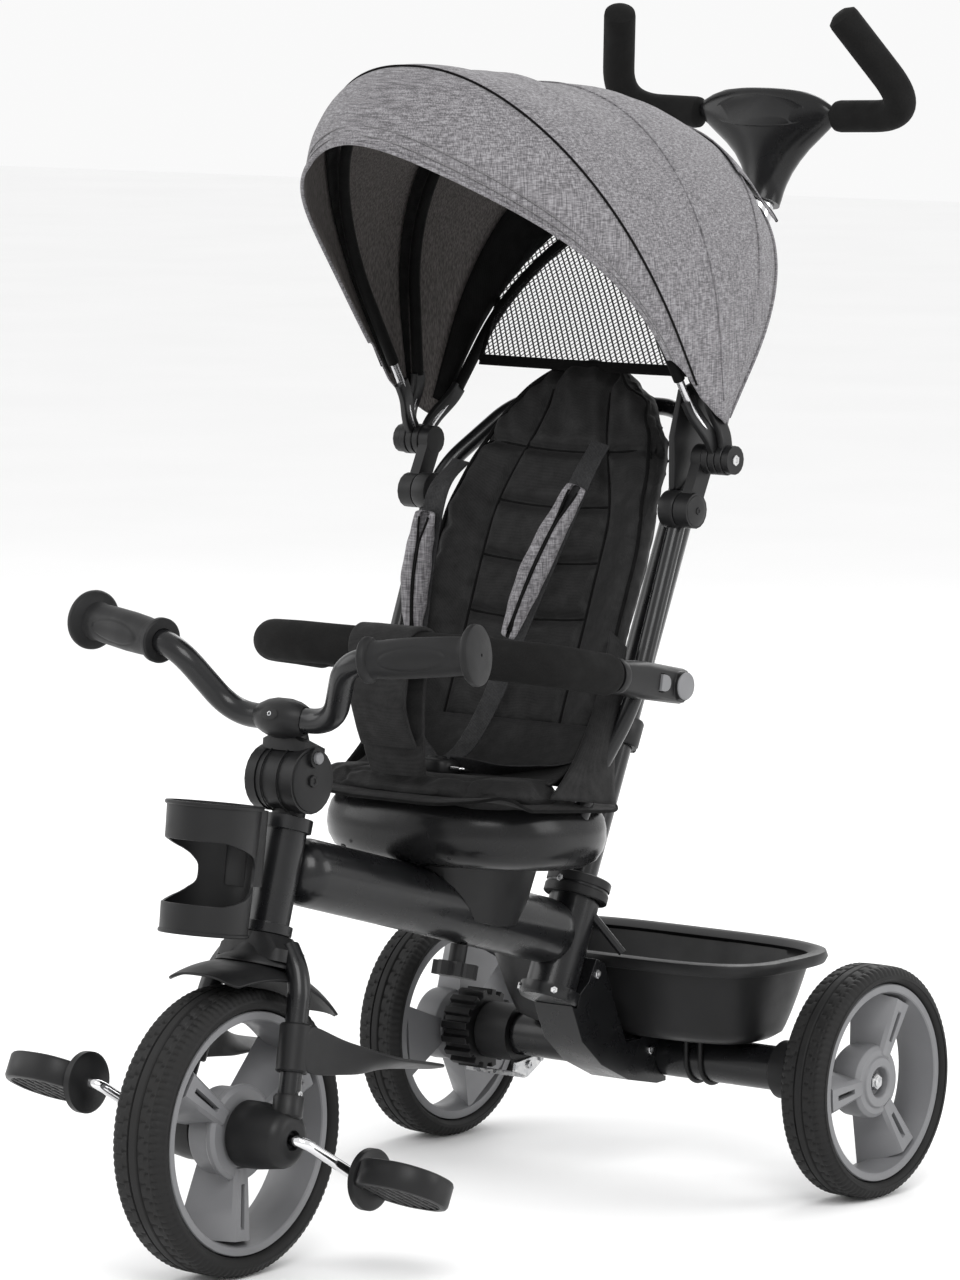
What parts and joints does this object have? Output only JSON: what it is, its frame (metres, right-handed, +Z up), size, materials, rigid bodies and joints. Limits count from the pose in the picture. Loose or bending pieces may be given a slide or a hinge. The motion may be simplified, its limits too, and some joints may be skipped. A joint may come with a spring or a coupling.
{
  "type": "children's tricycle",
  "caption": "Children's tricycle with a padded seat, folding sun canopy, foam bumper bar, rear basket, cup holder, foot brake and a steering push handle for an adult.",
  "frame": {"origin": "floor level, in the middle of the tricycle's bounding box", "axes": "+Z up, front wheel towards -Y, the rider's left towards +X"},
  "size_m": [0.5368, 0.9368, 1.0804],
  "materials": {
    "black_paint": "satin",
    "black_plastic": "satin",
    "seat_plastic": "satin",
    "grey_plastic": "satin",
    "tyre": "matte",
    "chrome": "polished",
    "steel": "satin",
    "foam": "matte",
    "black_cloth": "matte",
    "grey_cloth": "matte"
  },
  "bodies": {
    "frame": {"head_tube": "black_paint", "cup_holder": "black_plastic", "main_tube": "black_paint", "rear_column": "black_paint", "rear_axle_tube": "black_paint", "rear_axle_shaft": "steel", "axle_gusset": "black_paint", "brake_housing": "black_plastic", "basket": "black_plastic", "seat_shell": "seat_plastic", "seat_pad": "black_cloth", "saddle_mount": "black_plastic", "backrest_pad": "black_cloth", "backrest_frame": "black_paint", "shoulder_pad_left": "grey_cloth", "shoulder_pad_right": "grey_cloth", "bar_bracket_left": "black_plastic", "bar_bracket_right": "black_plastic", "crotch_strap": "black_cloth"},
    "steering": {"fork_crown": "black_plastic", "fender": "black_plastic", "axle_housing_left": "black_plastic", "axle_housing_right": "black_plastic", "fork_leg_left": "black_paint", "fork_leg_right": "black_paint", "drum_core": "black_plastic"},
    "footrest_l": {"footrest_left": "black_plastic"},
    "footrest_r": {"footrest_right": "black_plastic"},
    "handlebars": {"handlebar": "black_paint", "handlebar_clamp": "black_plastic", "grip_left": "foam", "grip_right": "foam"},
    "tilt_release": {"tilt_button": "grey_plastic"},
    "front_wheel": {"tyre_front": "tyre", "rim_front": "grey_plastic", "crank_rod": "chrome"},
    "pedal_l": {"pedal_left": "black_plastic"},
    "pedal_r": {"pedal_right": "black_plastic"},
    "rear_wheel_l": {"tyre_rear_left": "tyre", "rim_rear_left": "grey_plastic"},
    "rear_wheel_r": {"tyre_rear_right": "tyre", "rim_rear_right": "grey_plastic", "brake_drum": "black_plastic"},
    "brake_pedal": {"brake_lever": "steel"},
    "clamp_knob": {"seat_knob": "black_plastic"},
    "push_lower": {"push_tube": "black_paint"},
    "push_upper": {"push_tube_inner": "chrome", "push_hub": "black_plastic", "push_grip_left": "foam", "push_grip_right": "foam"},
    "canopy_arms": {"canopy_arm_left": "black_plastic", "canopy_arm_right": "black_plastic", "bow_rear": "steel", "canopy_cover": "grey_cloth"},
    "canopy_front": {"bow_front": "steel"},
    "canopy_middle": {"bow_middle": "steel"},
    "bumper": {"bumper_bar": "black_paint", "bumper_foam": "foam"},
    "bar_release_l": {"bar_release_left": "grey_plastic"},
    "bar_release_r": {"bar_release_right": "grey_plastic"}
  },
  "joints": [
    {"name": "steer", "type": "hinge", "parent": "frame", "child": "steering", "pos_m": [0, -0.3434, 0.125], "axis": [0, 0.3007, 0.9537], "range_deg": [-35, 35]},
    {"name": "handlebar_tilt", "type": "hinge", "parent": "steering", "child": "handlebars", "pos_m": [0, -0.25936, 0.42145], "axis": [1, 0, 0], "range_deg": [-15, 45]},
    {"name": "tilt_button_press", "type": "slide", "parent": "handlebars", "child": "tilt_release", "axis": [-1, 0, 0], "range_m": [0, 0.004], "stiffness_N_per_m": 400},
    {"name": "front_wheel_spin", "type": "hinge", "parent": "steering", "child": "front_wheel", "pos_m": [0, -0.3434, 0.125], "axis": [1, 0, 0], "continuous": true},
    {"name": "pedal_left_spin", "type": "hinge", "parent": "front_wheel", "child": "pedal_l", "pos_m": [0.155, -0.2864, 0.087], "axis": [1, 0, 0], "continuous": true},
    {"name": "pedal_right_spin", "type": "hinge", "parent": "front_wheel", "child": "pedal_r", "pos_m": [-0.155, -0.4004, 0.163], "axis": [1, 0, 0], "continuous": true},
    {"name": "rear_wheel_left_spin", "type": "hinge", "parent": "frame", "child": "rear_wheel_l", "pos_m": [0.244, 0.2681, 0.1066], "axis": [1, 0, 0], "continuous": true},
    {"name": "rear_wheel_right_spin", "type": "hinge", "parent": "frame", "child": "rear_wheel_r", "pos_m": [-0.244, 0.2681, 0.1066], "axis": [1, 0, 0], "continuous": true},
    {"name": "brake_lever_turn", "type": "hinge", "parent": "frame", "child": "brake_pedal", "pos_m": [-0.148, 0.2881, 0.0776], "axis": [1, 0, 0], "range_deg": [-9, 0]},
    {"name": "footrest_left_fold", "type": "hinge", "parent": "steering", "child": "footrest_l", "pos_m": [0.05477, -0.31994, 0.19939], "axis": [0.1122, -0.2988, -0.9477], "range_deg": [0, 70]},
    {"name": "footrest_right_fold", "type": "hinge", "parent": "steering", "child": "footrest_r", "pos_m": [-0.05477, -0.31994, 0.19939], "axis": [-0.1122, -0.2988, -0.9477], "range_deg": [-70, 0]},
    {"name": "clamp_knob_turn", "type": "hinge", "parent": "frame", "child": "clamp_knob", "pos_m": [0, -0.0119, 0.2743], "axis": [0, 0.2672, 0.9636], "continuous": true},
    {"name": "push_turn", "type": "hinge", "parent": "frame", "child": "push_lower", "pos_m": [0, 0.1151, 0.187], "axis": [0, 0.421, 0.907], "range_deg": [-35, 35]},
    {"name": "push_height", "type": "slide", "parent": "push_lower", "child": "push_upper", "axis": [0, 0.421, 0.907], "range_m": [0, 0.1]},
    {"name": "canopy_tilt", "type": "hinge", "parent": "frame", "child": "canopy_arms", "pos_m": [0, 0.1131, 0.635], "axis": [1, 0, 0], "range_deg": [-15, 10]},
    {"name": "canopy_fold", "type": "hinge", "parent": "canopy_arms", "child": "canopy_front", "pos_m": [0, 0.1361, 0.68], "axis": [1, 0, 0], "range_deg": [-50, 0], "deforming": ["canopy_cover"]},
    {"name": "canopy_middle_fold", "type": "hinge", "parent": "canopy_arms", "child": "canopy_middle", "pos_m": [0, 0.1361, 0.68], "axis": [1, 0, 0], "range_deg": [-32, 0]},
    {"name": "bumper_slide", "type": "slide", "parent": "frame", "child": "bumper", "axis": [0, -0.9816, 0.1908], "range_m": [0, 0.06]},
    {"name": "bar_release_left_press", "type": "slide", "parent": "frame", "child": "bar_release_l", "axis": [-1, 0, 0], "range_m": [0, 0.002], "stiffness_N_per_m": 400},
    {"name": "bar_release_right_press", "type": "slide", "parent": "frame", "child": "bar_release_r", "axis": [1, 0, 0], "range_m": [0, 0.002], "stiffness_N_per_m": 400}
  ],
  "couplings": [
    {"joint": "push_turn", "follows": "steer", "ratio": 1},
    {"joint": "canopy_middle_fold", "follows": "canopy_fold", "ratio": 0.64}
  ]
}
